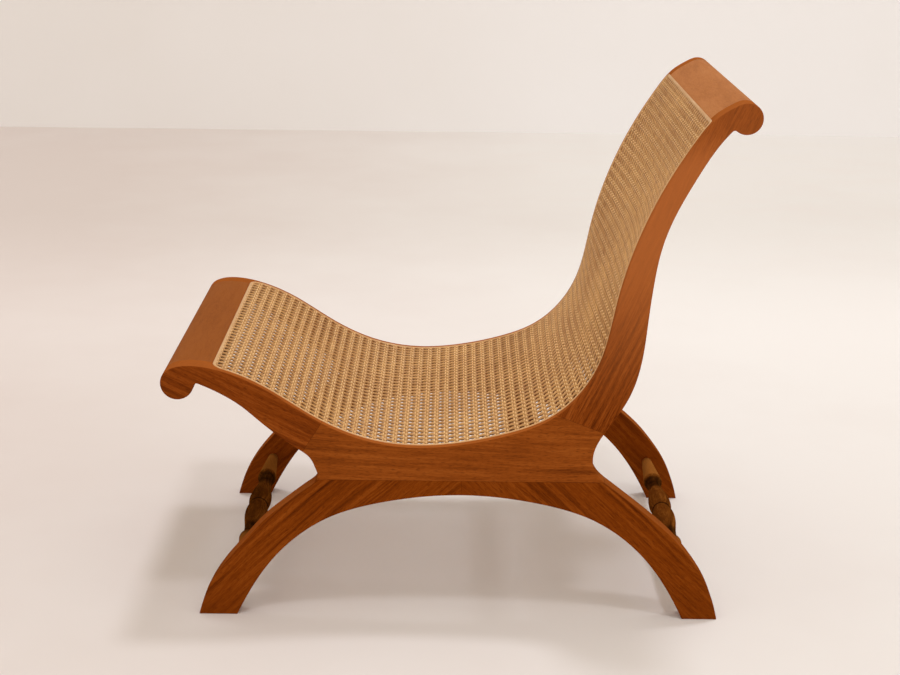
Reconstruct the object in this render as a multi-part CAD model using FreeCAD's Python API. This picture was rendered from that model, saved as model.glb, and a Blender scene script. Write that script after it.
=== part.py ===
import FreeCAD, Part
import math
import os

# A low lounge chair: two flat side frames, each glued up from five boards, carry a scrolled
# front apron, a scrolled head rail, a brace under the seat and two turned stretchers. One sheet
# of cane runs from the apron to the head rail, held in a groove by four lengths of reed.
# X runs from the front of the chair to its back, Y across it and Z up from the floor.

# Overall sizes in millimetres
chair_length = 874.0
chair_height = 800.0
chair_width = 545.0

# Side frames
frame_thickness = 30.0
edge_rounding = 1.6
front_scroll_diameter = 50.0
head_scroll_diameter = 46.0
scroll_notch_radius = 4.5
wood_over_arch = 23.0

# Loose tenons that join the five boards of a side frame
tenon_thickness = 10.0
tenon_length = 44.0
seat_tenon_width = 26.0
seat_tenon_below_seat_line = 30.5
post_tenon_width = 34.0
post_tenon_below_seat_line = 47.0
leg_tenon_length = 38.0
leg_tenon_width = 40.0
tenon_clearance = 0.2

# Front apron and head rail
apron_ledge = 9.0
head_ledge = 30.0
rail_dowel_diameter = 9.0
rail_dowel_length = 44.0
rail_dowel_in_frame = 18.0
dowel_clearance = 0.1
apron_dowel_from_cane = 10.0
apron_dowel_below_seat_line = 14.5
head_dowel_from_cane = 10.0
head_dowel_below_seat_line = 17.0

# Brace under the seat
brace_width = 44.0
brace_thickness = 20.0
brace_gap_under_cane = 10.0
brace_tenon_width = 32.0
brace_tenon_thickness = 11.0
brace_tenon_length = 16.0

# Turned stretchers
stretcher_tenon_diameter = 14.0
stretcher_tenon_length = 20.0
stretcher_end_diameter = 17.0
stretcher_cone_diameter = 31.0
stretcher_bead_diameter = 31.6
stretcher_cove_diameter = 25.6
stretcher_neck_diameter = 23.0
stretcher_vase_diameter = 37.0
stretcher_shoulder_diameter = 32.4
stretcher_groove_diameter = 29.0

# Cane sheet and the reed that locks it in its groove
cane_thickness = 2.4
cane_gap = 0.1
cane_margin = 10.0
cane_opening = 23.0
cane_openings_across = 11
cane_openings_along = 22
reed_width = 5.0
reed_depth = 6.0
reed_gap = 0.1
reed_proud = 0.6
front_corner_radius = 18.0
head_corner_radius = 7.0
bed_land = 4.0
relief_depth = 9.0
relief_end_margin = 14.0
overrun = 4.0

# Where the seat line leaves and meets the scrolls, and where the lower edges meet them, as
# angles in degrees round each scroll
front_crest_angle = 118.0
front_notch_angle = 5.0
head_crest_angle = 98.0
head_notch_angle = 222.0

# Side outline as shares of the chair's length and height, from the front to the back
seat_line_shares = (
    (0.0525, 0.5008), (0.1040, 0.4912), (0.1702, 0.4612), (0.2549, 0.4038),
    (0.3407, 0.3613), (0.4265, 0.3456), (0.5124, 0.3519), (0.5976, 0.3725),
    (0.6657, 0.4031), (0.7161, 0.4519), (0.7481, 0.5119), (0.7731, 0.6250),
    (0.8063, 0.7488), (0.8539, 0.8600), (0.8951, 0.9325), (0.9300, 0.9772), (0.9505, 0.9910),
)
front_scroll_height_share = 0.4656
front_fork_shares = (
    (0.1020, 0.4464), (0.1356, 0.4235), (0.1693, 0.3921), (0.2337, 0.3390), (0.2544, 0.3205),
    (0.2641, 0.2981), (0.2667, 0.2881), (0.2634, 0.2769), (0.2500, 0.2638), (0.2140, 0.2335),
    (0.1739, 0.1969), (0.1362, 0.1506), (0.1018, 0.1056), (0.0789, 0.0669), (0.0635, 0.0300),
)
front_foot_shares = (0.0552, 0.1225)
rear_foot_shares = (0.9086, 0.9699)
rear_fork_shares = (
    (0.9600, 0.0413), (0.9428, 0.0844), (0.9176, 0.1263), (0.8890, 0.1644), (0.8564, 0.1981),
    (0.8158, 0.2344), (0.7729, 0.2710), (0.7523, 0.2910), (0.7437, 0.3075), (0.7417, 0.3200),
    (0.7436, 0.3400), (0.7607, 0.3778), (0.7985, 0.4440), (0.8120, 0.4833), (0.8272, 0.5989),
    (0.8348, 0.6748), (0.8442, 0.7311), (0.8616, 0.7869), (0.8959, 0.8606), (0.9389, 0.9336),
)
# The arch's crown as a share of the height, and half of the arch as shares of its half span and of
# that crown's height
arch_crown_share = 0.25
arch_shares = ((0.349, 0.935), (0.582, 0.810), (0.727, 0.650), (0.844, 0.447), (0.940, 0.200))

# Joints between the boards, each from its upper to its lower end
seat_joint_shares = ((0.2762, 0.3950), (0.2424, 0.3363))
post_joint_shares = ((0.6756, 0.4125), (0.7591, 0.3775))
leg_tenon_place_shares = (0.28, 0.50)

# The cane's two ends and the brace as shares of the seat line's length
cane_front_share = 0.0544
cane_head_share = 0.9542
brace_share = 0.4725

# Stretcher profile stations as shares of the half length between the legs
cone_share = 0.412
bead_share = 0.430
cove_share = 0.466
neck_share = 0.552
vase_share = 0.854
shoulder_share = 0.972
groove_share = 0.980
front_stretcher_shares = (0.1270, 0.0869)
rear_stretcher_shares = (0.9055, 0.0869)

# Number of stations from which lines parallel to the seat line are drawn, the sizes of the blocks
# that cut off shapes and corners, and a whole turn in degrees
station_count = 120
cutting_reach = 1800.0
corner_reach = 40.0
full_turn = 360

half_width = chair_width / 2
inner_half_width = half_width - frame_thickness
across_chair = FreeCAD.Vector(0, 1, 0)
origin = FreeCAD.Vector(0, 0, 0)


def spot(shares):
    """A point of the side view from its shares of the length and the height."""
    x_share, z_share = shares
    return FreeCAD.Vector((x_share - 1 / 2) * chair_length, 0, z_share * chair_height)


def spots(rows):
    """Several points of the side view."""
    return [spot(row) for row in rows]


def on_circle(centre, radius, degrees):
    """A point of a scroll's rim."""
    angle = math.radians(degrees)
    return centre + FreeCAD.Vector(math.cos(angle), 0, math.sin(angle)) * radius


def clockwise(degrees):
    """The direction of travel at an angle of a circle that is walked clockwise."""
    angle = math.radians(degrees)
    return FreeCAD.Vector(math.sin(angle), 0, -math.cos(angle))


def smooth(points, first=None, last=None):
    """A smooth curve through points, with a given direction at each end where one is named."""
    travelled = [0.0]
    for before, after in zip(points, points[1:]):
        travelled.append(travelled[-1] + before.distanceToPoint(after))
    curve = Part.BSplineCurve()
    if first is None:
        curve.interpolate(Points=points, Parameters=travelled)
    else:
        curve.interpolate(
            Points=points, Parameters=travelled, InitialTangent=first, FinalTangent=last, Scale=False
        )
    return curve


front_scroll = FreeCAD.Vector(
    front_scroll_diameter / 2 - chair_length / 2, 0, front_scroll_height_share * chair_height
)
arch_rise = arch_crown_share * chair_height
head_scroll = FreeCAD.Vector(
    chair_length / 2 - head_scroll_diameter / 2, 0, chair_height - head_scroll_diameter / 2
)


def seat_edge():
    """The seat line: the upper edge of a side frame, from the front scroll to the head scroll."""
    start = on_circle(front_scroll, front_scroll_diameter / 2, front_crest_angle)
    end = on_circle(head_scroll, head_scroll_diameter / 2, head_crest_angle)
    points = [start] + spots(seat_line_shares) + [end]
    curve = smooth(points, clockwise(front_crest_angle), clockwise(head_crest_angle))
    return curve.toShape()


seat_line = seat_edge()


def station(distance):
    """A point of the seat line at a distance along it, with its direction and inward normal."""
    parameter = seat_line.getParameterByLength(distance)
    point = seat_line.valueAt(parameter)
    along = seat_line.tangentAt(parameter)
    inward = FreeCAD.Vector(along.z, 0, -along.x)
    return point, along, inward


def parallel_line(depth):
    """The line that runs below the seat line at a depth."""
    points = []
    for index in range(station_count + 1):
        point, along, inward = station(seat_line.Length * (index / station_count))
        points.append(point + inward * depth)
    return smooth(points).toShape()


def prism(wire, y_low, y_high):
    """A flat outline of the side view, thickened from one Y to another."""
    face = Part.Face(wire)
    face.translate(FreeCAD.Vector(0, y_low, 0))
    return face.extrude(FreeCAD.Vector(0, y_high - y_low, 0))


def slab(points, y_low, y_high):
    """A prism with straight edges."""
    return prism(Part.makePolygon(points + points[:1]), y_low, y_high)


def half_space(point, along, ahead):
    """A large block of all that lies ahead of the line through a point."""
    corner = point - along * cutting_reach
    far = point + along * cutting_reach
    points = [corner, far, far + ahead * cutting_reach, corner + ahead * cutting_reach]
    return slab(points, -chair_width, chair_width)


def bar_block(centre, along, length, width, thickness, y_centre):
    """A block that lies along a direction of the side view."""
    across = FreeCAD.Vector(-along.z, 0, along.x)
    half = along * (length / 2)
    side = across * (width / 2)
    points = [centre - half - side, centre + half - side, centre + half + side, centre - half + side]
    return slab(points, y_centre - thickness / 2, y_centre + thickness / 2)


def round_bar(centre, radius, y_low, y_high):
    """A round bar that runs across the chair."""
    base = FreeCAD.Vector(centre.x, y_low, centre.z)
    return Part.makeCylinder(radius, y_high - y_low, base, across_chair)


def arc(centre, radius, start, end):
    """An arc of a scroll's rim from one angle to another."""
    points = [on_circle(centre, radius, angle) for angle in (start, (start + end) / 2, end)]
    return Part.Arc(*points).toShape()


def arch_points():
    """The underside of the arch from the rear foot to the front foot."""
    front_inner = spot((front_foot_shares[1], 0))
    rear_inner = spot((rear_foot_shares[0], 0))
    centre = (front_inner.x + rear_inner.x) / 2
    half_span = (rear_inner.x - front_inner.x) / 2
    rear = [
        FreeCAD.Vector(centre + half_span * out, 0, arch_rise * up) for out, up in arch_shares
    ]
    front = [
        FreeCAD.Vector(centre - half_span * out, 0, arch_rise * up) for out, up in arch_shares
    ]
    crown = FreeCAD.Vector(centre, 0, arch_rise)
    return [rear_inner] + rear[::-1] + [crown] + front + [front_inner]


def frame_outline():
    """The whole outline of a side frame, before its corners are rounded."""
    front_radius = front_scroll_diameter / 2
    head_radius = head_scroll_diameter / 2
    front_notch = on_circle(front_scroll, front_radius, front_notch_angle)
    head_notch = on_circle(head_scroll, head_radius, head_notch_angle)
    front_toe, front_heel = [spot((share, 0)) for share in front_foot_shares]
    rear_heel, rear_toe = [spot((share, 0)) for share in rear_foot_shares]
    edges = [
        seat_line,
        arc(head_scroll, head_radius, head_crest_angle, head_notch_angle - full_turn),
        smooth([head_notch] + spots(rear_fork_shares)[::-1] + [rear_toe]).toShape(),
        Part.makeLine(rear_toe, rear_heel),
        smooth(arch_points()).toShape(),
        Part.makeLine(front_heel, front_toe),
        smooth([front_toe] + spots(front_fork_shares)[::-1] + [front_notch]).toShape(),
        arc(front_scroll, front_radius, front_notch_angle, front_crest_angle - full_turn),
    ]
    return Part.Wire(edges)


def cross_edges(shape, point):
    """The edges of a prism that run across the chair at a corner of its outline."""
    found = []
    for edge in shape.Edges:
        ends = [vertex.Point for vertex in edge.Vertexes]
        if len(ends) != 2:
            continue
        flat = [FreeCAD.Vector(end.x, 0, end.z) for end in ends]
        if all(end.distanceToPoint(point) < edge_rounding / 2 for end in flat):
            found.append(edge)
    return found


def rounded_plate(y_low, y_high):
    """A side frame in one piece with the notches behind its scrolls rounded."""
    plate = prism(frame_outline(), y_low, y_high)
    corners = (
        on_circle(front_scroll, front_scroll_diameter / 2, front_notch_angle),
        on_circle(head_scroll, head_scroll_diameter / 2, head_notch_angle),
    )
    for corner in corners:
        plate = plate.makeFillet(scroll_notch_radius, cross_edges(plate, corner))
    return plate


def soften_outer_face(plate, y_face):
    """Take the sharp edge off all round the outer face of a side frame."""
    rim = []
    for edge in plate.Edges:
        if all(abs(vertex.Y - y_face) < edge_rounding / 2 for vertex in edge.Vertexes):
            rim.append(edge)
    return plate.makeFillet(edge_rounding, rim)


def band(depth_top, depth_bottom, half):
    """The space between two lines parallel to the seat line, across the chair."""
    top = parallel_line(depth_top)
    bottom = parallel_line(depth_bottom)
    start = Part.makeLine(top.Vertexes[0].Point, bottom.Vertexes[0].Point)
    end = Part.makeLine(top.Vertexes[-1].Point, bottom.Vertexes[-1].Point)
    return prism(Part.Wire([top, end, bottom, start]), -half, half)


def end_corners(point, inward, ahead, half, radius):
    """All that lies outside the two rounded corners at one end of the cane's outline."""
    centre = point - ahead * radius
    top = centre - inward * corner_reach
    bottom = centre + inward * corner_reach
    outline = [top, bottom, bottom + ahead * corner_reach, top + ahead * corner_reach]
    tools = []
    for side in (-1, 1):
        y_inner = side * (half - radius)
        y_low, y_high = sorted((y_inner, side * (half + corner_reach)))
        base = FreeCAD.Vector(top.x, y_inner, top.z)
        round_part = Part.makeCylinder(radius, top.distanceToPoint(bottom), base, inward)
        tools.append(slab(outline, y_low, y_high).cut(round_part))
    return tools


def cane_block(inset, depth_top, depth_bottom, end_inset=0):
    """A block with the cane's outline, drawn in by an inset all round and more at its ends."""
    half = half_width - cane_margin - inset
    start = cane_front_share * seat_line.Length + inset + end_inset
    stop = cane_head_share * seat_line.Length - inset - end_inset
    block = band(depth_top, depth_bottom, half)
    for distance, direction, radius in ((start, -1, front_corner_radius), (stop, 1, head_corner_radius)):
        point, along, inward = station(distance)
        ahead = along * direction
        block = block.cut(half_space(point, inward, ahead))
        if radius > inset:
            block = block.cut(end_corners(point, inward, ahead, half, radius - inset))
    return block


def reed_ring(outer_inset, inner_inset, depth_top, depth_bottom):
    """A ring along the cane's outline."""
    core = cane_block(inner_inset, depth_top - overrun, depth_bottom + overrun)
    return cane_block(outer_inset, depth_top, depth_bottom).cut(core)


cane_bed = cane_block(0, -overrun, cane_thickness)
reed_groove = reed_ring(0, reed_width, -overrun, reed_depth)
rail_relief = cane_block(reed_width + bed_land, -overrun, relief_depth, relief_end_margin)


def joint_frame(shares, tenon_depth):
    """Where the tenon crosses a joint line, the joint's direction and the direction across it."""
    upper, lower = spots(shares)
    along = (lower - upper).normalize()
    across = FreeCAD.Vector(-along.z, 0, along.x)
    return upper + along * tenon_depth, along, across


seat_joint = joint_frame(seat_joint_shares, seat_tenon_below_seat_line)
post_joint = joint_frame(post_joint_shares, post_tenon_below_seat_line)
crown = arch_points()[len(arch_shares) + 1]
front_way = FreeCAD.Vector(-1, 0, 0)
upward = FreeCAD.Vector(0, 0, 1)


def frame_boards(plate):
    """Saw a side frame into its five boards."""
    leg_line = crown + upward * wood_over_arch
    below = half_space(leg_line, front_way, -upward)
    in_front = half_space(leg_line, upward, front_way)
    middle, along, across = seat_joint
    ahead_of_seat_joint = half_space(middle, along, -across)
    if across.x < 0:
        ahead_of_seat_joint = half_space(middle, along, across)
    middle, along, across = post_joint
    above_post_joint = half_space(middle, along, across)
    if across.z < 0:
        above_post_joint = half_space(middle, along, -across)
    upper = plate.cut(below)
    legs = plate.common(below)
    return {
        "seat_rail": upper.common(ahead_of_seat_joint),
        "back_post": upper.common(above_post_joint),
        "middle_rail": upper.cut(ahead_of_seat_joint).cut(above_post_joint),
        "front_leg": legs.common(in_front),
        "rear_leg": legs.cut(in_front),
    }


def board_tenon(joint, width, y_centre, clearance):
    """The loose tenon across a joint, or its mortise if it has a clearance."""
    middle, along, across = joint
    return bar_block(
        middle,
        across,
        tenon_length + 2 * clearance,
        width + 2 * clearance,
        tenon_thickness + 2 * clearance,
        y_centre,
    )


def leg_tenons(direction, y_centre, clearance):
    """The two loose tenons on top of a leg, or their mortises if they have a clearance."""
    half_span = abs(arch_points()[0].x - crown.x)
    blocks = []
    for share in leg_tenon_place_shares:
        middle = crown + FreeCAD.Vector(direction * share * half_span, 0, wood_over_arch)
        blocks.append(
            bar_block(
                middle,
                upward,
                leg_tenon_length + 2 * clearance,
                leg_tenon_width + 2 * clearance,
                tenon_thickness + 2 * clearance,
                y_centre,
            )
        )
    return Part.makeCompound(blocks)


def frame_tenons(y_centre, clearance):
    """Every loose tenon of a side frame by name."""
    return {
        "seat_rail_tenon": board_tenon(seat_joint, seat_tenon_width, y_centre, clearance),
        "back_post_tenon": board_tenon(post_joint, post_tenon_width, y_centre, clearance),
        "front_leg_tenons": leg_tenons(-1, y_centre, clearance),
        "rear_leg_tenons": leg_tenons(1, y_centre, clearance),
    }


def rail_dowels(places, clearance):
    """The dowels in both ends of a rail, or their holes if they have a clearance."""
    radius = rail_dowel_diameter / 2 + clearance
    reach = rail_dowel_in_frame + clearance
    back = rail_dowel_length - rail_dowel_in_frame + clearance
    outer = inner_half_width + reach
    inner = inner_half_width - back
    bars = []
    for place in places:
        bars.append(round_bar(place, radius, -outer, -inner))
        bars.append(round_bar(place, radius, inner, outer))
    return Part.makeCompound(bars)


def dowel_place(distance, depth):
    """The centre of a dowel below the seat line."""
    point, along, inward = station(distance)
    return point + inward * depth


# Two dowels in each end of a rail, one in the scroll's centre and one in the board beside it
apron_dowel_distance = cane_front_share * seat_line.Length - apron_dowel_from_cane
head_dowel_distance = cane_head_share * seat_line.Length + head_dowel_from_cane
apron_dowel_places = (front_scroll, dowel_place(apron_dowel_distance, apron_dowel_below_seat_line))
head_dowel_places = (head_scroll, dowel_place(head_dowel_distance, head_dowel_below_seat_line))


def scroll_rail(keep, dowel_holes):
    """A rail with the side frames' outline between them, from a scroll to under the cane."""
    rail = rounded_plate(-inner_half_width, inner_half_width).common(keep)
    return rail.cut(cane_bed).cut(reed_groove).cut(dowel_holes)


def apron_keep():
    """All that lies in front of the apron's rear face."""
    distance = cane_front_share * seat_line.Length + apron_ledge
    point, along, inward = station(distance)
    return half_space(point, inward, -along)


def head_keep():
    """All that lies beyond the head rail's lower face."""
    distance = cane_head_share * seat_line.Length - head_ledge
    point, along, inward = station(distance)
    return half_space(point, inward, along)


def seat_brace(clearance):
    """The flat brace with a stub tenon at each end, or the space for them."""
    point, along, inward = station(brace_share * seat_line.Length)
    centre = point + inward * (cane_thickness + brace_gap_under_cane + brace_thickness / 2)
    body = bar_block(centre, along, brace_width, brace_thickness, 2 * inner_half_width, 0)
    stubs = bar_block(
        centre,
        along,
        brace_tenon_width + 2 * clearance,
        brace_tenon_thickness + 2 * clearance,
        2 * (inner_half_width + brace_tenon_length + clearance),
        0,
    )
    if clearance > 0:
        return stubs
    return body.fuse(stubs).removeSplitter()


def stretcher_profile():
    """Half of a stretcher's turned outline as edges, from its tenon's end to its middle."""
    tenon_radius = stretcher_tenon_diameter / 2
    tenon_end = -inner_half_width - stretcher_tenon_length

    def at(share, diameter):
        return FreeCAD.Vector(diameter / 2, inner_half_width * (share - 1), 0)

    corners = [
        FreeCAD.Vector(0, tenon_end, 0),
        FreeCAD.Vector(tenon_radius, tenon_end, 0),
        FreeCAD.Vector(tenon_radius, -inner_half_width, 0),
        at(0, stretcher_end_diameter),
        at(cone_share, stretcher_cone_diameter),
    ]
    edges = [Part.makeLine(a, b) for a, b in zip(corners, corners[1:])]
    cove = at(cove_share, stretcher_cove_diameter)
    bead = Part.Arc(corners[-1], at(bead_share, stretcher_bead_diameter), cove)
    edges.append(bead.toShape())
    vase = [
        cove,
        at(neck_share, stretcher_neck_diameter),
        at(vase_share, stretcher_vase_diameter),
        at(shoulder_share, stretcher_shoulder_diameter),
    ]
    edges.append(smooth(vase).toShape())
    groove = at(groove_share, stretcher_groove_diameter)
    edges.append(Part.makeLine(vase[-1], groove))
    edges.append(Part.makeLine(groove, at(1, stretcher_groove_diameter)))
    return edges


def stretcher(centre):
    """A turned stretcher between two legs, with a round tenon at each end."""
    half = stretcher_profile()
    mirrored = [edge.mirror(origin, across_chair) for edge in half[::-1]]
    reach = inner_half_width + stretcher_tenon_length
    axis = Part.makeLine(FreeCAD.Vector(0, reach, 0), FreeCAD.Vector(0, -reach, 0))
    face = Part.Face(Part.Wire(half + mirrored + [axis]))
    solid = face.revolve(origin, across_chair, full_turn)
    solid.translate(centre)
    return solid


def stretcher_hole(centre):
    """The holes in both legs for a stretcher's tenons."""
    reach = inner_half_width + stretcher_tenon_length + dowel_clearance
    return round_bar(centre, stretcher_tenon_diameter / 2 + dowel_clearance, -reach, reach)


def reed_lengths():
    """The ring of reed cut into a front, a head and two side lengths."""
    ring = reed_ring(reed_gap, reed_width - reed_gap, -reed_proud, reed_depth - reed_gap)
    front = cane_front_share * seat_line.Length + front_corner_radius
    head = cane_head_share * seat_line.Length - head_corner_radius - reed_width
    point, along, inward = station(front)
    before = half_space(point, inward, -along)
    point, along, inward = station(head)
    beyond = half_space(point, inward, along)
    lengths = {"front_reed": ring.common(before), "head_reed": ring.common(beyond)}
    rest = sorted(ring.cut(before).cut(beyond).Solids, key=lambda solid: solid.CenterOfMass.y)
    lengths["left_reed"] = rest[0]
    lengths["right_reed"] = rest[-1]
    return lengths


def cane_openings():
    """The blocks that open the cane sheet as a plain grid, coarser than the real weave."""
    half = half_width - cane_margin - reed_width
    start = cane_front_share * seat_line.Length + reed_width
    stop = cane_head_share * seat_line.Length - reed_width
    step_along = (stop - start) / cane_openings_along
    step_across = 2 * half / cane_openings_across
    depth = cane_thickness + 2 * overrun
    blocks = []
    for row in range(cane_openings_along):
        point, along, inward = station(start + step_along * (row + 1 / 2))
        middle = point + inward * (cane_thickness / 2)
        for column in range(cane_openings_across):
            y_centre = step_across * (column + 1 / 2) - half
            blocks.append(bar_block(middle, along, cane_opening, depth, cane_opening, y_centre))
    return blocks


def cane_panel():
    """The cane sheet inside the reeds, open as a plain grid."""
    sheet = cane_block(reed_width, 0, cane_thickness - cane_gap)
    return sheet.cut(cane_openings())


def left_frame():
    """The five boards and the loose tenons of the left side frame."""
    y_centre = (-half_width - inner_half_width) / 2
    plate = rounded_plate(-half_width, -inner_half_width)
    plate = soften_outer_face(plate, -half_width)
    plate = plate.cut(cane_bed).cut(reed_groove).cut(rail_relief)
    hollows = list(frame_tenons(y_centre, tenon_clearance).values())
    hollows.append(rail_dowels(apron_dowel_places, dowel_clearance))
    hollows.append(rail_dowels(head_dowel_places, dowel_clearance))
    hollows.append(seat_brace(tenon_clearance))
    for shares in (front_stretcher_shares, rear_stretcher_shares):
        hollows.append(stretcher_hole(spot(shares)))
    pieces = frame_tenons(y_centre, 0)
    for board, solid in frame_boards(plate).items():
        for hollow in hollows:
            solid = solid.cut(hollow)
        pieces[board] = solid
    return pieces


def build():
    """Every piece of the chair by its node's name."""
    pieces = {}
    for name, shape in left_frame().items():
        pieces["left_" + name] = shape
        pieces["right_" + name] = shape.mirror(origin, across_chair)
    apron_holes = rail_dowels(apron_dowel_places, dowel_clearance)
    head_holes = rail_dowels(head_dowel_places, dowel_clearance)
    pieces["front_apron"] = scroll_rail(apron_keep(), apron_holes)
    pieces["head_rail"] = scroll_rail(head_keep(), head_holes)
    pieces["front_apron_dowels"] = rail_dowels(apron_dowel_places, 0)
    pieces["head_rail_dowels"] = rail_dowels(head_dowel_places, 0)
    pieces["seat_brace"] = seat_brace(0)
    pieces["front_stretcher"] = stretcher(spot(front_stretcher_shares))
    pieces["rear_stretcher"] = stretcher(spot(rear_stretcher_shares))
    pieces["cane_panel"] = cane_panel()
    pieces.update(reed_lengths())
    return pieces


os.makedirs("parts", exist_ok=True)
for node, shape in build().items():
    solids = shape.Solids
    shape = solids[0] if len(solids) == 1 else Part.makeCompound(solids)
    box = shape.BoundBox
    print(node, len(solids), shape.isValid(), round(shape.Volume), [
        round(value, 1) for value in (box.XMin, box.XMax, box.YMin, box.YMax, box.ZMin, box.ZMax)
    ])
    shape.exportStep("parts/" + node + ".step")
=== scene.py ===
"""The lamu chair dressed for its picture: oiled wood, woven cane, reeds and a plain studio.

Every length is in metres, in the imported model's own frame. X runs from the front of the chair to
its back, Y from the sitter's left to the sitter's right, and Z up from the floor.
"""

import logging
import math
from dataclasses import dataclass, field
from enum import Enum

import bmesh
import bpy
import numpy as np
from mathutils import Matrix, Vector


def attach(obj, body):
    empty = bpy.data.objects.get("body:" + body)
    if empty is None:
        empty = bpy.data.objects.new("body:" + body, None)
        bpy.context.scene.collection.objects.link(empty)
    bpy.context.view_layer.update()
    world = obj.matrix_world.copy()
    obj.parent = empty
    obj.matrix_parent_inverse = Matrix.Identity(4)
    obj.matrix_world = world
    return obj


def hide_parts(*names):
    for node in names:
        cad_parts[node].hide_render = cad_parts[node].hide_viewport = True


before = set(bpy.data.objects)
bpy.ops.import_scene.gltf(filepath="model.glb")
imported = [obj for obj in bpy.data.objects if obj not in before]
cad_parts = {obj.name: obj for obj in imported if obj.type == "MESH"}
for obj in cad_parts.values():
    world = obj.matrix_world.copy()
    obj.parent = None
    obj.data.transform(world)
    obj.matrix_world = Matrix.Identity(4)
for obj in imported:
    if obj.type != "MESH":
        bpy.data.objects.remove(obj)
log = logging.getLogger("lamu_chair")

BODY = "root"
WEAVE_PLACE = "weave_place"    # attribute: a point's place on the flat sheet
STRAND_SIDE = "strand_side"    # attribute: how far a point lies from a strand's middle line

Colour = tuple[float, float, float]
Place = tuple[float, float, float]
Flat = tuple[float, float]
Node = bpy.types.Node
Link = bpy.types.NodeSocket
Tree = bpy.types.NodeTree
Piece = bpy.types.Object


def linear(colour: Colour) -> tuple[float, float, float, float]:
    """Turns a colour as it shows on screen, from 0 to 255, into Blender's linear one.

    Args:
        colour: Red, green and blue from 0 to 255.

    Returns:
        The same colour as linear red, green, blue and an alpha of one.
    """
    parts = []
    for value in colour:
        share = value / 255.0
        parts.append(share / 12.92 if share <= 0.04045 else ((share + 0.055) / 1.055) ** 2.4)
    return (*parts, 1.0)


def link_to_scene(thing: Piece) -> Piece:
    """Puts an object in the scene."""
    bpy.context.scene.collection.objects.link(thing)
    return thing


@dataclass(frozen=True)
class Bench:
    """A node tree while it is being wired up."""

    tree: Tree

    def feed(self, node: Node, inputs: dict[str | int, object]) -> Node:
        """Gives a node's inputs their links or plain values.

        Args:
            node: The node.
            inputs: A link or a value for each input, by its name or number.

        Returns:
            The same node.
        """
        for key, value in inputs.items():
            if isinstance(value, Link):
                self.tree.links.new(value, node.inputs[key])
            else:
                node.inputs[key].default_value = value
        return node

    def add(self, kind: str, inputs: dict[str | int, object] | None = None,
            **settings: object) -> Node:
        """Adds a node.

        Args:
            kind: Blender's name for the node's type.
            inputs: A link or a value for each input, by its name or number.
            **settings: The node's own properties by name.

        Returns:
            The new node.
        """
        node = self.tree.nodes.new(kind)
        for name, value in settings.items():
            setattr(node, name, value)
        return self.feed(node, inputs or {})

    def math(self, operation: str, *values: object, clamp: bool = False) -> Link:
        """Adds a Math node; clamp keeps its result from 0 to 1."""
        inputs = dict(enumerate(values))
        return self.add("ShaderNodeMath", inputs, operation=operation, use_clamp=clamp).outputs[0]

    def times(self, first: object, second: object) -> Link:
        """Multiplies two links or numbers."""
        return self.math("MULTIPLY", first, second)

    def plus(self, value: object, weight: object, base: object, clamp: bool = False) -> Link:
        """Adds a weighted value to a base."""
        return self.math("MULTIPLY_ADD", value, weight, base, clamp=clamp)

    def about_zero(self, value: Link) -> Link:
        """Shifts a value that lies about a half so that it lies about zero."""
        return self.math("SUBTRACT", value, 0.5)

    def vector(self, operation: str, *values: object) -> Link:
        """Adds a Vector Math node whose result is a vector."""
        inputs = dict(enumerate(values))
        return self.add("ShaderNodeVectorMath", inputs, operation=operation).outputs[0]

    def scaled(self, vector: Link, factor: object) -> Link:
        """Multiplies a vector by a number."""
        return self.add("ShaderNodeVectorMath", {0: vector, "Scale": factor},
                        operation="SCALE").outputs[0]

    def beyond(self, place: Link, point: object, ahead: object) -> Link:
        """How far a place lies beyond the plane through a point, counted ahead."""
        offset = self.vector("SUBTRACT", place, point)
        return self.add("ShaderNodeVectorMath", {0: offset, 1: ahead},
                        operation="DOT_PRODUCT").outputs["Value"]

    def combine(self, x: object, y: object, z: object) -> Link:
        """Joins three links or numbers into a vector."""
        return self.add("ShaderNodeCombineXYZ", {0: x, 1: y, 2: z}).outputs[0]

    def split(self, vector: object) -> tuple[Link, ...]:
        """Takes a vector apart into its three numbers."""
        return tuple(self.add("ShaderNodeSeparateXYZ", {0: vector}).outputs)

    def noise(self, vector: object, detail: float, roughness: float = 0.5) -> Link:
        """Adds a noise about a half, whose scale is already in its vector."""
        inputs = {"Vector": vector, "Scale": 1.0, "Detail": detail, "Roughness": roughness}
        return self.add("ShaderNodeTexNoise", inputs, noise_dimensions="3D").outputs["Fac"]

    def span(self, value: object, low: object, high: object, to_low: float = 0.0,
             to_high: float = 1.0) -> Link:
        """Maps a range of a number to another one with soft ends.

        Args:
            value: The number.
            low: Start of the range.
            high: End of the range.
            to_low: What the start becomes.
            to_high: What the end becomes.

        Returns:
            The mapped number.
        """
        inputs = {"Value": value, "From Min": low, "From Max": high, "To Min": to_low,
                  "To Max": to_high}
        return self.add("ShaderNodeMapRange", inputs,
                        interpolation_type="SMOOTHSTEP").outputs["Result"]

    def blend(self, share: object, first: object, second: object) -> Link:
        """Mixes a share of a second colour into a first one."""
        return self.add("ShaderNodeMix", {0: share, 6: first, 7: second}, data_type="RGBA",
                        blend_type="MIX").outputs[2]

    def place(self) -> Link:
        """The place on the piece, which never slides when the piece moves."""
        return self.add("ShaderNodeTexCoord").outputs["Object"]

    def turned(self, place: Link, turn: Place, shift: Place = (0.0, 0.0, 0.0)) -> Link:
        """Turns a place by degrees about each axis and then shifts it."""
        inputs = {"Vector": place, "Rotation": tuple(math.radians(angle) for angle in turn),
                  "Location": shift}
        return self.add("ShaderNodeMapping", inputs, vector_type="POINT").outputs[0]


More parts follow.
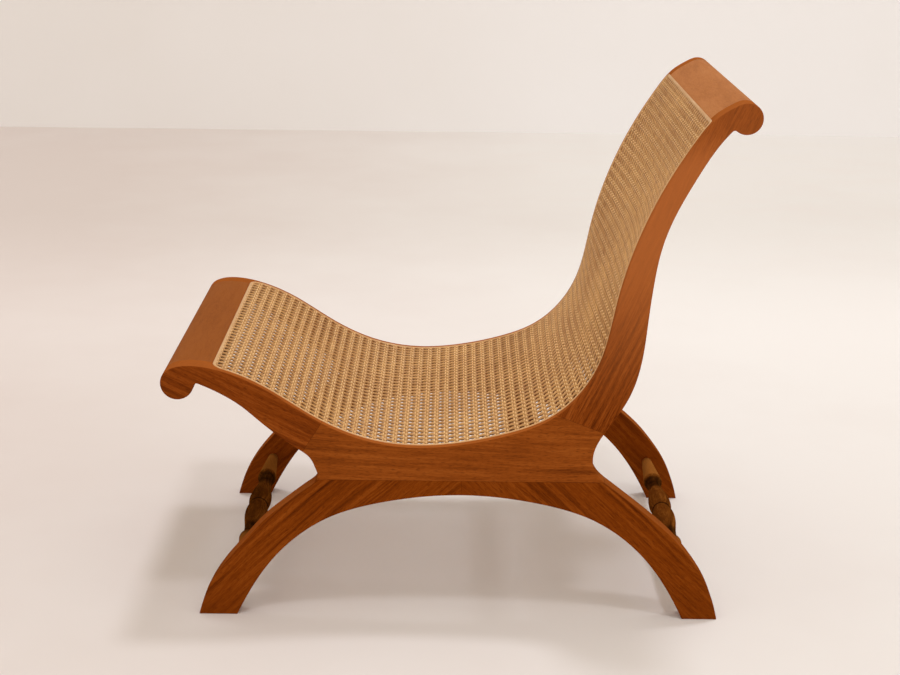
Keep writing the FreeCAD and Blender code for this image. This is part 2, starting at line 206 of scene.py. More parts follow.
class Socket(Enum):
    """What the inputs and outputs of a node group carry."""

    NUMBER = "NodeSocketFloat"
    COUNT = "NodeSocketInt"
    VECTOR = "NodeSocketVector"
    COLOUR = "NodeSocketColor"
    GEOMETRY = "NodeSocketGeometry"
    OBJECT = "NodeSocketObject"
    MATERIAL = "NodeSocketMaterial"


LOOK = {"Color": Socket.COLOUR, "Roughness": Socket.NUMBER, "Height": Socket.NUMBER}
MASK = {"Mask": Socket.NUMBER}


def new_group(name: str, kind: str, inputs: dict[str, Socket | float],
              outputs: dict[str, Socket]) -> tuple[Bench, dict[str, Link], Node]:
    """Starts a node group with named inputs and outputs.

    Args:
        name: The group's name.
        kind: The tree's type.
        inputs: By name, what each input carries or the number that it starts with.
        outputs: By name, what each output carries.

    Returns:
        A bench on the group's tree, its input sockets by name and its output node.
    """
    tree = bpy.data.node_groups.new(name, kind)
    for label, given in inputs.items():
        carried = given
        if not isinstance(given, Socket):
            carried = Socket.COUNT if isinstance(given, int) else Socket.NUMBER
        item = tree.interface.new_socket(label, in_out="INPUT", socket_type=carried.value)
        if carried is not given:
            item.default_value = given
    for label, carried in outputs.items():
        tree.interface.new_socket(label, in_out="OUTPUT", socket_type=carried.value)
    bench = Bench(tree)
    sockets = {socket.name: socket for socket in bench.add("NodeGroupInput").outputs}
    return bench, sockets, bench.add("NodeGroupOutput")


# --- Shader groups that several finishes share ---


class GrainLayer(Enum):
    """The noises in wood: scale along, through and across the grain, detail and roughness."""

    WIDE_FLOW = (2.6, 5.0, 5.0, 1.0, 0.5)
    NARROW_FLOW = (13.0, 20.0, 30.0, 1.0, 0.5)
    STREAKS = (18.0, 120.0, 330.0, 3.0, 0.65)
    PATCHES = (5.0, 12.0, 14.0, 2.0, 0.5)
    FIBRE = (110.0, 800.0, 1300.0, 2.0, 0.5)
    MARKING = (4.0, 9.0, 22.0, 1.0, 0.5)
    PORES = (105.0, 560.0, 820.0, 1.5, 0.5)


def build_wood_grain() -> Tree:
    """Open grained wood: flowing bands, streaks, fibre and pores along the place's X.

    Returns:
        The shader group.
    """
    numbers = ("Band Width", "Band Strength", "Streak Strength", "Flow", "Pore Strength",
               "Roughness")
    bench, given, result = new_group(
        "wood_grain", "ShaderNodeTree",
        {"Place": Socket.VECTOR} | dict.fromkeys(("Dark", "Middle", "Light"), Socket.COLOUR)
        | dict.fromkeys(numbers, Socket.NUMBER), LOOK)
    narrow_share, band_tilt, band_detail = 0.16, 0.35, 2.5
    streak_weight, patch_weight, fibre_weight = 2.2, 0.45, 0.5
    pore_dullness, streak_shine, pore_depth = 0.16, -0.25, -0.8
    band_contrast, pore_contrast = (0.3, 0.7), (0.54, 0.68)
    marking_contrast, least_marked, most_marked = (0.38, 0.62), 0.25, 1.3
    along, depth, across = bench.split(given["Place"])

    def noise(layer: GrainLayer, line: Link) -> Link:
        """One layer of the grain, read at a line across it."""
        *scales, detail, roughness = layer.value
        parts = [bench.times(part, scale) for part, scale in zip((along, depth, line), scales)]
        return bench.noise(bench.combine(*parts), detail, roughness)

    wide = bench.about_zero(noise(GrainLayer.WIDE_FLOW, across))
    narrow = bench.about_zero(noise(GrainLayer.NARROW_FLOW, across))
    flow = bench.plus(bench.times(narrow, given["Flow"]), narrow_share,
                      bench.times(wide, given["Flow"]))
    line = bench.math("ADD", bench.plus(depth, band_tilt, across), flow)
    ring = bench.add("ShaderNodeTexNoise", {
        "W": bench.math("DIVIDE", line, given["Band Width"]), "Scale": 1.0,
        "Detail": band_detail}, noise_dimensions="1D")
    bands = bench.about_zero(bench.span(ring.outputs["Fac"], *band_contrast))
    streaks = bench.about_zero(noise(GrainLayer.STREAKS, line))
    patches = bench.about_zero(noise(GrainLayer.PATCHES, across))
    fibre = noise(GrainLayer.FIBRE, line)
    marked = bench.span(noise(GrainLayer.MARKING, across), *marking_contrast, least_marked,
                        most_marked)
    tone = bench.plus(bench.times(bands, marked), given["Band Strength"], 0.5)
    tone = bench.plus(bench.times(streaks, given["Streak Strength"]), streak_weight, tone)
    tone = bench.plus(patches, patch_weight, tone)
    tone = bench.plus(bench.about_zero(fibre), fibre_weight, tone)
    colour = bench.blend(bench.math("MULTIPLY", tone, 2.0, clamp=True), given["Dark"],
                         given["Middle"])
    colour = bench.blend(bench.plus(tone, 2.0, -1.0, clamp=True), colour, given["Light"])
    pores = bench.span(noise(GrainLayer.PORES, line), *pore_contrast)
    colour = bench.blend(bench.times(pores, given["Pore Strength"]), colour, given["Dark"])
    roughness = bench.plus(pores, pore_dullness, given["Roughness"])
    bench.feed(result, {
        "Color": colour, "Roughness": bench.plus(streaks, streak_shine, roughness),
        "Height": bench.plus(pores, pore_depth, fibre)})
    return bench.tree


def build_glue_line() -> Tree:
    """A thin dark line where two boards meet, on a plane through a point.

    Returns:
        The shader group.
    """
    bench, given, result = new_group("glue_line", "ShaderNodeTree", {
        "Place": Socket.VECTOR, "Point": Socket.VECTOR, "Across": Socket.VECTOR,
        "Half Width": 0.0005, "Core Share": 0.4}, MASK)
    distance = bench.math("ABSOLUTE", bench.beyond(given["Place"], given["Point"],
                                                   given["Across"]))
    core = bench.times(given["Half Width"], given["Core Share"])
    bench.feed(result, {"Mask": bench.span(distance, core, given["Half Width"], 1.0, 0.0)})
    return bench.tree


def build_beyond_plane() -> Tree:
    """All that lies beyond a plane, such as the painted shade on the inner side of a rail.

    Returns:
        The shader group.
    """
    bench, given, result = new_group("beyond_plane", "ShaderNodeTree", {
        "Place": Socket.VECTOR, "Point": Socket.VECTOR, "Ahead": Socket.VECTOR,
        "Soft Edge": 0.0015}, MASK)
    distance = bench.beyond(given["Place"], given["Point"], given["Ahead"])
    bench.feed(result, {"Mask": bench.span(distance, 0.0, given["Soft Edge"])})
    return bench.tree


def build_turned_groove_shade() -> Tree:
    """Painted shade in both necks and in the middle rings of a turned bar along Y, patchy in the
    necks.

    Returns:
        The shader group.
    """
    bench, given, result = new_group("turned_grooves", "ShaderNodeTree", {
        "Place": Socket.VECTOR, "Neck From": 0.080, "Neck To": 0.138, "Neck Edge": 0.020,
        "Ring At": 0.0048, "Ring Width": 0.0016, "Patch Scale": 60.0}, MASK)
    outer_edge, ring_core, patch_contrast, least_shade = -0.4, 0.3, (0.3, 0.7), 0.65
    out = bench.math("ABSOLUTE", bench.split(given["Place"])[1])
    inner = bench.math("ADD", given["Neck From"], given["Neck Edge"])
    outer = bench.plus(given["Neck Edge"], outer_edge, given["Neck To"])
    neck = bench.times(bench.span(out, given["Neck From"], inner),
                       bench.span(out, given["Neck To"], outer))
    patches = bench.noise(bench.scaled(given["Place"], given["Patch Scale"]), 2.0)
    neck = bench.times(neck, bench.span(patches, *patch_contrast, least_shade))
    beside = bench.math("ABSOLUTE", bench.math("SUBTRACT", out, given["Ring At"]))
    ring = bench.span(beside, given["Ring Width"], bench.times(given["Ring Width"], ring_core))
    bench.feed(result, {"Mask": bench.math("MAXIMUM", neck, ring)})
    return bench.tree


def build_cane_fibre() -> Tree:
    """Split cane: fine fibre along the strand, pale bark and warmer, duller stretches.

    Returns:
        The shader group.
    """
    bench, given, result = new_group("cane_fibre", "ShaderNodeTree", {
        "Place": Socket.VECTOR, "Side": Socket.NUMBER, "Tint": 0.5, "Pale": Socket.COLOUR,
        "Warm": Socket.COLOUR, "Edge": Socket.COLOUR}, LOOK)
    drift_weight, cloud_weight, fine_weight = 1.5, 1.1, 0.5
    edge_from, edge_share, pale_roughness, warm_roughness = 0.62, 0.55, 0.34, 0.5
    along, across, _ = bench.split(given["Place"])

    def noise(scale_along: float, scale_across: float, layer: float,
              roughness: float = 0.5) -> Link:
        """A noise drawn out along the strand; its layer keeps it apart from the others."""
        place = bench.combine(bench.times(along, scale_along),
                              bench.times(across, scale_across), layer)
        return bench.noise(place, 2.0, roughness)

    fine = noise(60.0, 2600.0, 0.0)
    drift = noise(22.0, 190.0, 3.0, 0.6)
    cloud = noise(7.0, 7.0, 7.0)
    warm = bench.math("ADD", bench.plus(drift, drift_weight, -drift_weight / 2), given["Tint"])
    warm = bench.plus(bench.about_zero(cloud), cloud_weight, warm)
    warm = bench.plus(bench.about_zero(fine), fine_weight, warm, clamp=True)
    colour = bench.blend(warm, given["Pale"], given["Warm"])
    edge = bench.span(bench.math("ABSOLUTE", given["Side"]), edge_from, 1.0)
    colour = bench.blend(bench.times(edge, edge_share), colour, given["Edge"])
    roughness = bench.span(warm, 0.0, 1.0, pale_roughness, warm_roughness)
    bench.feed(result, {"Color": colour, "Roughness": roughness, "Height": fine})
    return bench.tree


@dataclass(frozen=True)
class Effects:
    """The shader groups, each built once."""

    wood_grain: Tree = field(default_factory=build_wood_grain)
    glue_line: Tree = field(default_factory=build_glue_line)
    beyond_plane: Tree = field(default_factory=build_beyond_plane)
    turned_grooves: Tree = field(default_factory=build_turned_groove_shade)
    cane_fibre: Tree = field(default_factory=build_cane_fibre)


def start_material(name: str) -> tuple[bpy.types.Material, Bench, Node]:
    """Starts a node material.

    Args:
        name: The material's name.

    Returns:
        The material, a bench on its tree and its Principled BSDF.
    """
    material = bpy.data.materials.new(name)
    material.use_nodes = True
    return material, Bench(material.node_tree), material.node_tree.nodes["Principled BSDF"]


def use_group(bench: Bench, tree: Tree, **values: object) -> Node:
    """Places a group in a tree.

    Args:
        bench: The tree it goes in.
        tree: The group.
        **values: Its inputs, with spaces written as underscores.

    Returns:
        The group's node.
    """
    kind = "ShaderNodeGroup" if tree.bl_idname == "ShaderNodeTree" else "GeometryNodeGroup"
    inputs = {name.replace("_", " "): value for name, value in values.items()}
    return bench.add(kind, inputs, node_tree=tree)


def lay_on(bench: Bench, surface: Node, colour: Link, roughness: Link, height: Link,
           relief: Flat, shine: float) -> Link:
    """Gives a surface its colour, roughness, relief and shine.

    Args:
        bench: The material's tree.
        surface: The material's Principled BSDF.
        colour: The base colour.
        roughness: The roughness.
        height: The height of the relief.
        relief: How strongly the relief shows and how deep it is.
        shine: The surface's specular level.

    Returns:
        The relief's normal.
    """
    strength, depth = relief
    bump = bench.add("ShaderNodeBump", {"Strength": strength, "Distance": depth,
                                        "Height": height})
    bench.feed(surface, {"Base Color": colour, "Roughness": roughness,
                         "Normal": bump.outputs["Normal"], "Specular IOR Level": shine})
    return bump.outputs["Normal"]


# --- Finishes ---


@dataclass(frozen=True)
class Seam:
    """A glued joint between two boards, as a plane across the side view."""

    point: Place
    across: Place


@dataclass(frozen=True)
class PaintedShadeSide:
    """Painted shade on the inner side of a rail, under the cane, which is also made duller: a
    point of its plane and the way in.
    """

    point: Place
    ahead: Place
    colour: Colour = (40, 17, 5)
    share: float = 0.8
    dullness: float = 0.4


@dataclass(frozen=True)
class GrainFinish:
    """The grain of a wooden piece, turned along it."""

    name: str
    turn: Place
    shift: Place
    dark: Colour = (74, 29, 5)
    middle: Colour = (122, 56, 11)
    light: Colour = (150, 77, 22)
    band_width: float = 0.010
    band_strength: float = 0.25
    streak_strength: float = 0.38
    flow: float = 0.03
    pores: float = 0.45
    roughness: float = 0.5

    def grain(self, bench: Bench, effects: Effects, place: Link) -> tuple[Link, ...]:
        """Places the grain in a material.

        Args:
            bench: The material's tree.
            effects: The shared groups.
            place: The place on the piece.

        Returns:
            The grain's colour, roughness and height.
        """
        return tuple(use_group(
            bench, effects.wood_grain, Place=bench.turned(place, self.turn, self.shift),
            Dark=linear(self.dark), Middle=linear(self.middle), Light=linear(self.light),
            Band_Width=self.band_width, Band_Strength=self.band_strength,
            Streak_Strength=self.streak_strength, Flow=self.flow, Pore_Strength=self.pores,
            Roughness=self.roughness).outputs)


@dataclass(frozen=True)
class WoodFinish(GrainFinish):
    """Oiled wood on one board, faded where it is given so, with painted light on its upward faces
    and, where given, painted shade on an inner side.
    """

    oil: float = 0.0
    oil_roughness: float = 0.35
    painted_top_light: float = 0.5
    painted_top_light_colour: Colour = (190, 110, 52)
    painted_top_light_slopes: Flat = (0.3, 0.9)
    fading: float = 0.0
    faded_colour: Colour = (190, 112, 60)
    fades_in: Flat = (0.30, 0.62)
    fades_out: Flat = (0.70, 0.77)
    fading_left: float = 0.4
    painted_shade_side: PaintedShadeSide | None = None
    seams: tuple[Seam, ...] = ()
    glue_colour: Colour = (38, 14, 4)
    glue_share: float = 0.4
    relief: Flat = (0.22, 0.0003)

    def material(self, effects: Effects) -> bpy.types.Material:
        """Builds the finish.

        Args:
            effects: The shared groups.

        Returns:
            The material.
        """
        material, bench, surface = start_material(self.name)
        place = bench.place()
        colour, roughness, height = self.grain(bench, effects, place)
        if self.fading > 0.0:
            _, _, up = bench.split(place)
            share = bench.times(bench.span(up, *self.fades_in, 0.0, self.fading),
                                bench.span(up, *self.fades_out, 1.0, self.fading_left))
            colour = bench.blend(share, colour, linear(self.faded_colour))
        # Painted shade on the inner side under the cane; it is also made duller.
        if self.painted_shade_side is not None:
            shaded_side = self.painted_shade_side
            painted_shade_mask = use_group(bench, effects.beyond_plane, Place=place, Point=shaded_side.point,
                               Ahead=shaded_side.ahead).outputs["Mask"]
            colour = bench.blend(bench.times(painted_shade_mask, shaded_side.share), colour, linear(shaded_side.colour))
            roughness = bench.plus(painted_shade_mask, shaded_side.dullness, roughness)
        # Painted light: upward faces are blended towards a paler colour for the light and sheen
        # that they catch.
        _, _, upward = bench.split(bench.add("ShaderNodeNewGeometry").outputs["True Normal"])
        colour = bench.blend(bench.span(upward, *self.painted_top_light_slopes, 0.0, self.painted_top_light), colour,
                             linear(self.painted_top_light_colour))
        for seam in self.seams:
            line = use_group(bench, effects.glue_line, Place=place, Point=seam.point,
                             Across=seam.across).outputs["Mask"]
            colour = bench.blend(bench.times(line, self.glue_share), colour,
                                 linear(self.glue_colour))
        normal = lay_on(bench, surface, colour, roughness, height, self.relief, 0.0)
        bench.feed(surface, {"Coat Normal": normal, "Coat Weight": self.oil,
                             "Coat Roughness": self.oil_roughness})
        return material


@dataclass(frozen=True)
class TurnedFinish(GrainFinish):
    """Duller wood on a turned bar, with painted shade in its grooves and a painted highlight on
    its end cones.
    """

    dark: Colour = (48, 22, 4)
    middle: Colour = (92, 50, 12)
    light: Colour = (150, 94, 38)
    band_width: float = 0.009
    band_strength: float = 0.35
    streak_strength: float = 0.5
    flow: float = 0.02
    pores: float = 0.3
    roughness: float = 0.52
    groove: Colour = (24, 10, 3)
    groove_shade_share: float = 0.85
    cone_highlight_span: Flat = (0.138, 0.150)
    cone_highlight_share: float = 0.6
    relief: Flat = (0.25, 0.0003)

    def material(self, effects: Effects) -> bpy.types.Material:
        """Builds the finish.

        Args:
            effects: The shared groups.

        Returns:
            The material.
        """
        material, bench, surface = start_material(self.name)
        place = bench.place()
        colour, roughness, height = self.grain(bench, effects, place)
        out = bench.math("ABSOLUTE", bench.split(place)[1])
        # Painted highlight: the end cones are blended towards the light colour.
        colour = bench.blend(bench.span(out, *self.cone_highlight_span, 0.0, self.cone_highlight_share), colour,
                             linear(self.light))
        # Painted shade in the necks and the middle rings.
        grooves = use_group(bench, effects.turned_grooves, Place=place).outputs["Mask"]
        colour = bench.blend(bench.times(grooves, self.groove_shade_share), colour,
                             linear(self.groove))
        lay_on(bench, surface, colour, roughness, height, self.relief, 0.0)
        return material


@dataclass(frozen=True)
class CaneFinish:
    """Split cane whose fibre runs at an angle across the flat weave."""

    name: str
    angle: float
    pale: Colour
    warm: Colour
    edge: Colour
    relief: Flat = (0.2, 0.0001)
    shine: float = 0.5

    def material(self, effects: Effects) -> bpy.types.Material:
        """Builds the finish.

        Args:
            effects: The shared groups.

        Returns:
            The material.
        """
        material, bench, surface = start_material(self.name)
        flat, side = (bench.add("ShaderNodeAttribute", attribute_type="GEOMETRY",
                                attribute_name=name) for name in (WEAVE_PLACE, STRAND_SIDE))
        place = bench.turned(flat.outputs["Vector"], (0.0, 0.0, -self.angle))
        fibre = use_group(bench, effects.cane_fibre, Place=place, Side=side.outputs["Fac"],
                          Pale=linear(self.pale), Warm=linear(self.warm),
                          Edge=linear(self.edge))
        lay_on(bench, surface, *fibre.outputs, self.relief, self.shine)
        return material


@dataclass(frozen=True)
class PlasterFinish:
    """Pale, faintly clouded floor or wall, with painted shade towards -X and a painted glow that
    only the camera sees, rising towards the back.
    """

    name: str
    colour: Colour
    painted_shade: Colour
    painted_glow: float
    painted_glow_from: float
    painted_glow_to: float
    painted_shade_from: float = 0.9
    painted_shade_to: float = -1.5
    cloud_scale: float = 1.1
    cloud_detail: float = 4.0
    cloud_roughness: float = 0.6
    cloud_share: float = 0.7
    roughness: float = 0.85
    shine: float = 0.15

    def material(self) -> bpy.types.Material:
        """Builds the finish.

        Returns:
            The material.
        """
        material, bench, surface = start_material(self.name)
        place = bench.place()
        across, away, _ = bench.split(place)
        cloud = bench.about_zero(bench.noise(bench.scaled(place, self.cloud_scale),
                                             self.cloud_detail, self.cloud_roughness))
        # Painted shade: darker towards -X, mixed with faint clouds.
        share = bench.plus(cloud, self.cloud_share,
                           bench.span(across, self.painted_shade_from, self.painted_shade_to), clamp=True)
        colour = bench.blend(share, linear(self.colour), linear(self.painted_shade))
        # Painted glow: emission that only the camera sees, rising towards the back.
        seen = bench.add("ShaderNodeLightPath").outputs["Is Camera Ray"]
        painted_glow = bench.span(away, self.painted_glow_from, self.painted_glow_to, 0.0, self.painted_glow)
        bench.feed(surface, {
            "Base Color": colour, "Roughness": self.roughness,
            "Specular IOR Level": self.shine,
            "Emission Color": colour, "Emission Strength": bench.times(seen, painted_glow)})
        return material


# --- The seat line, which the cane and its reeds follow ---


@dataclass(frozen=True)
class SeatLine:
    """The upper edge of the side frames, from the front scroll to the head scroll.

    The line passes the points in shares, given as shares of the chair's length and height. Lifts
    gives how far the sheet's middle stands off the line, by the share of the way along it.
    """

    length: float = 0.874
    height: float = 0.800
    front_diameter: float = 0.050
    front_height_share: float = 0.4656
    front_angle: float = 118.0
    head_diameter: float = 0.046
    head_angle: float = 98.0
    stations: int = 900
    shares: tuple[Flat, ...] = (
        (0.0525, 0.5008), (0.1040, 0.4912), (0.1702, 0.4612), (0.2549, 0.4038),
        (0.3407, 0.3613), (0.4265, 0.3456), (0.5124, 0.3519), (0.5976, 0.3725),
        (0.6657, 0.4031), (0.7161, 0.4519), (0.7481, 0.5119), (0.7731, 0.6250),
        (0.8063, 0.7488), (0.8539, 0.8600), (0.8951, 0.9325), (0.9300, 0.9772),
        (0.9505, 0.9910),
    )
    lifts: tuple[Flat, ...] = (
        (0.0, 0.0), (0.07, 0.0), (0.15, -0.003), (0.24, 0.0), (0.36, 0.004), (0.48, 0.006),
        (0.58, 0.012), (0.65, 0.008), (0.71, -0.004), (0.78, -0.014), (0.85, -0.016),
        (0.89, -0.008), (0.918, 0.0), (1.0, 0.0),
    )
    lift_blur: int = 41

    def knots(self) -> tuple[np.ndarray, np.ndarray, np.ndarray]:
        """The points that the line passes, and its direction at both ends.

        Returns:
            The points as X and Z, and the two end directions.
        """
        def rim(centre: Flat, diameter: float, angle: float) -> list[float]:
            """A point of a scroll's rim."""
            turn = math.radians(angle)
            return [centre[0] + diameter / 2 * math.cos(turn),
                    centre[1] + diameter / 2 * math.sin(turn)]

        front = ((self.front_diameter - self.length) / 2, self.front_height_share * self.height)
        head = ((self.length - self.head_diameter) / 2, self.height - self.head_diameter / 2)
        points = [rim(front, self.front_diameter, self.front_angle)]
        points += [[(x - 0.5) * self.length, z * self.height] for x, z in self.shares]
        points.append(rim(head, self.head_diameter, self.head_angle))
        ends = [(math.sin(math.radians(a)), -math.cos(math.radians(a)))
                for a in (self.front_angle, self.head_angle)]
        return np.array(points), np.array(ends[0]), np.array(ends[1])

    def polyline(self) -> np.ndarray:
        """The line as closely spaced points, from a cubic through the knots.

        Returns:
            One row of X and Z for each point.
        """
        points, first, last = self.knots()
        gaps = np.linalg.norm(np.diff(points, axis=0), axis=1)
        count = len(points)
        left = np.zeros((count, count))
        right = np.zeros((count, 2))
        left[0, 0] = left[-1, -1] = 1.0
        right[0], right[-1] = first, last
        for i in range(1, count - 1):
            a, b = gaps[i - 1], gaps[i]
            left[i, i - 1], left[i, i], left[i, i + 1] = 1 / a, 2 / a + 2 / b, 1 / b
            right[i] = 3 * ((points[i] - points[i - 1]) / a**2
                            + (points[i + 1] - points[i]) / b**2)
        slopes = np.linalg.solve(left, right)
        travelled = np.concatenate([[0.0], np.cumsum(gaps)])
        wanted = np.linspace(0.0, travelled[-1], self.stations)
        row = np.clip(np.searchsorted(travelled, wanted, side="right") - 1, 0, count - 2)
        h = gaps[row]
        t = ((wanted - travelled[row]) / h)[:, None]
        h = h[:, None]
        return ((2 * t**3 - 3 * t**2 + 1) * points[row] + (t**3 - 2 * t**2 + t) * h * slopes[row]
                + (3 * t**2 - 2 * t**3) * points[row + 1] + (t**3 - t**2) * h * slopes[row + 1])

    def measure(self) -> float:
        """The line's length."""
        return float(np.linalg.norm(np.diff(self.polyline(), axis=0), axis=1).sum())

    def lifted(self) -> np.ndarray:
        """How far the middle of a taut sheet stands off the line, towards its chords.

        Returns:
            The lift at each station.
        """
        shares, heights = np.array(self.lifts).T
        rows = np.interp(np.linspace(0.0, 1.0, self.stations), shares, heights)
        padded = np.pad(rows, self.lift_blur // 2, mode="edge")
        return np.convolve(padded, np.ones(self.lift_blur) / self.lift_blur, mode="valid")

    def curve(self) -> Piece:
        """The line as a curve object for the geometry trees to follow.

        Each point's radius is one plus the lift of the sheet's middle there.

        Returns:
            A curve of straight runs between the stations.
        """
        data = bpy.data.curves.new("seat_line", "CURVE")
        data.dimensions = "3D"
        spline = data.splines.new("POLY")
        rows = self.polyline()
        spline.points.add(len(rows) - 1)
        for point, (x, z), lift in zip(spline.points, rows, self.lifted()):
            point.co = (x, 0.0, z, 1.0)
            point.radius = 1.0 + lift
        return link_to_scene(bpy.data.objects.new("seat_line", data))


def build_laid_on_line() -> Tree:
    """Bends flat geometry over the seat line: X becomes the way along it and Z its height.

    Returns:
        The geometry group.
    """
    bench, given, result = new_group("laid_on_seat_line", "GeometryNodeTree", {
        "Geometry": Socket.GEOMETRY, "Seat Line": Socket.OBJECT, "Sway": 0.0,
        "Sway Scale": 45.0, "Lift": 0.0, "Half Width": 0.26}, {"Geometry": Socket.GEOMETRY})
    place = bench.add("GeometryNodeInputPosition").outputs[0]
    noise = bench.add("ShaderNodeTexNoise", {
        "Vector": place, "Scale": given["Sway Scale"], "Detail": 1.0}, noise_dimensions="3D")
    centred = bench.vector("SUBTRACT", noise.outputs["Color"], (0.5, 0.5, 0.5))
    swayed = bench.vector("ADD", place, bench.scaled(centred, given["Sway"]))
    along, across, height = bench.split(swayed)
    line = bench.add("GeometryNodeObjectInfo", {"Object": given["Seat Line"]})
    sample = bench.add("GeometryNodeSampleCurve", {
        "Curves": line.outputs["Geometry"], "Length": along,
        "Value": bench.add("GeometryNodeInputRadius").outputs[0]}, mode="LENGTH")
    out = bench.math("DIVIDE", across, given["Half Width"])
    crown = bench.plus(bench.times(out, out), -1.0, 1.0, clamp=True)
    rise = bench.times(bench.math("SUBTRACT", sample.outputs["Value"], 1.0), given["Lift"])
    height = bench.plus(rise, crown, height)
    tangent_x, _, tangent_z = bench.split(sample.outputs["Tangent"])
    upward = bench.combine(bench.times(tangent_z, -1.0), 0.0, tangent_x)
    target = bench.vector("ADD", sample.outputs["Position"], bench.scaled(upward, height))
    target = bench.vector("ADD", target, bench.combine(0.0, across, 0.0))
    kept = bench.add("GeometryNodeStoreNamedAttribute", {
        "Geometry": given["Geometry"], "Name": WEAVE_PLACE, "Value": place},
        data_type="FLOAT_VECTOR", domain="POINT")
    bent = bench.add("GeometryNodeSetPosition", {"Geometry": kept.outputs["Geometry"],
                                                 "Position": target})
    bench.feed(result, {"Geometry": bent.outputs["Geometry"]})
    return bench.tree


def build_repeat_tree(bending: Tree) -> Tree:
    """Repeats one unit of a strand over the flat sheet and lays the result on the seat line.

    Args:
        bending: The group that bends flat geometry over the seat line.

    Returns:
        The geometry tree for a modifier.
    """
    bench, given, result = new_group("strand_repeats", "GeometryNodeTree", {
        "Geometry": Socket.GEOMETRY, "Seat Line": Socket.OBJECT, "Count Along": 1,
        "Count Across": 1, "Pitch Along": 0.0155, "Pitch Across": 0.0155, "First Along": 0.0,
        "First Across": 0.0, "Sway": 0.0, "Lift": 0.0, "Half Width": 0.26,
        "Join Distance": 0.00002, "Finish": Socket.MATERIAL}, {"Geometry": Socket.GEOMETRY})

    def reach(count: str, pitch: str) -> Link:
        """How far the repeats of one direction reach."""
        return bench.times(bench.math("SUBTRACT", given[count], 1.0), given[pitch])

    along = reach("Count Along", "Pitch Along")
    across = reach("Count Across", "Pitch Across")
    grid = bench.add("GeometryNodeMeshGrid", {
        "Size X": along, "Size Y": across, "Vertices X": given["Count Along"],
        "Vertices Y": given["Count Across"]})
    middle = bench.combine(bench.plus(along, 0.5, given["First Along"]),
                           bench.plus(across, 0.5, given["First Across"]), 0.0)
    places = bench.add("GeometryNodeSetPosition", {"Geometry": grid.outputs["Mesh"],
                                                   "Offset": middle})
    copies = bench.add("GeometryNodeInstanceOnPoints", {
        "Points": places.outputs["Geometry"], "Instance": given["Geometry"]})
    real = bench.add("GeometryNodeRealizeInstances", {
        "Geometry": copies.outputs["Instances"]})
    joined = bench.add("GeometryNodeMergeByDistance", {
        "Geometry": real.outputs["Geometry"], "Distance": given["Join Distance"]})
    laid = use_group(bench, bending, Geometry=joined.outputs["Geometry"],
                     Seat_Line=given["Seat Line"], Sway=given["Sway"], Lift=given["Lift"],
                     Half_Width=given["Half Width"])
    dressed = bench.add("GeometryNodeSetMaterial", {
        "Geometry": laid.outputs["Geometry"], "Material": given["Finish"]})
    bench.feed(result, {"Geometry": dressed.outputs["Geometry"]})
    return bench.tree


def settle(piece: Piece, tree: Tree, values: dict[str, object]) -> Piece:
    """Runs a geometry tree on an object and keeps the result as a plain mesh.

    Args:
        piece: The object whose mesh goes into the tree.
        tree: The tree.
        values: The tree's inputs by name.

    Returns:
        The same object with its new mesh and without the modifier.
    """
    modifier = piece.modifiers.new("shaping", "NODES")
    modifier.node_group = tree
    for item in tree.interface.items_tree:
        if item.item_type == "SOCKET" and item.in_out == "INPUT" and item.name in values:
            modifier[item.identifier] = values[item.name]
    bpy.context.view_layer.update()
    depsgraph = bpy.context.evaluated_depsgraph_get()
    shaped = bpy.data.meshes.new_from_object(
        piece.evaluated_get(depsgraph), preserve_all_data_layers=True, depsgraph=depsgraph)
    piece.modifiers.remove(modifier)
    old = piece.data
    piece.data = shaped
    bpy.data.meshes.remove(old)
    shaped.name = piece.name
    return piece


def new_piece(name: str, points: list[Place], faces: list[list[int]]) -> Piece:
    """Makes a mesh object at the origin.

    Args:
        name: The piece's name.
        points: Its vertices.
        faces: Its faces as rows of vertex numbers.

    Returns:
        The object, in the scene.
    """
    mesh = bpy.data.meshes.new(name)
    mesh.from_pydata(points, [], faces)
    mesh.validate()
    return link_to_scene(bpy.data.objects.new(name, mesh))


def new_strips(name: str, runs: list[list[list[Place]]], sides: list[float]) -> Piece:
    """Makes strips, open at both ends, from sections that follow one another.

    Args:
        name: The object's name.
        runs: For each strip, the points of each of its sections.
        sides: For each point of a section, its place from one edge, -1, to the other, 1.

    Returns:
        An object with the strips and their side attribute.
    """
    ring = len(sides)
    points: list[Place] = []
    faces: list[list[int]] = []
    for run in runs:
        first = len(points)
        for i, section in enumerate(run):
            points += section
            if i == 0:
                continue
            for k in range(ring):
                a, b = (first + ring * (i - 1) + corner for corner in (k, (k + 1) % ring))
                faces.append([a, b, b + ring, a + ring])
    strips = new_piece(name, points, faces)
    attribute = strips.data.attributes.new(STRAND_SIDE, "FLOAT", "POINT")
    attribute.data.foreach_set("value", np.tile(np.array(sides, np.float32),
                                                len(points) // ring))
    return strips


def close_and_smooth(piece: Piece) -> None:
    """Closes open ends, turns every face outwards and shades the piece smooth.

    Args:
        piece: The mesh object.
    """
    most_sides = 24
    work = bmesh.new()
    work.from_mesh(piece.data)
    rims = [edge for edge in work.edges if edge.is_boundary]
    bmesh.ops.holes_fill(work, edges=rims, sides=most_sides)
    bmesh.ops.recalc_face_normals(work, faces=work.faces)
    for face in work.faces:
        face.smooth = True
    work.to_mesh(piece.data)
    work.free()


# --- The woven cane ---


class StrandWay(Enum):
    """The ways in which the strands of the six way weave run, in degrees."""

    LENGTHWISE = 0.0
    CROSSWISE = 90.0
    RISING = 45.0
    FALLING = -45.0


@dataclass(frozen=True)
class StrandSet:
    """All strands of one kind: how they run and which of a pair they are."""

    name: str
    way: StrandWay
    first_of_pair: bool = True

    @property
    def straight(self) -> bool:
        """Whether the strands follow the sheet's edges."""
        return self.way in (StrandWay.LENGTHWISE, StrandWay.CROSSWISE)


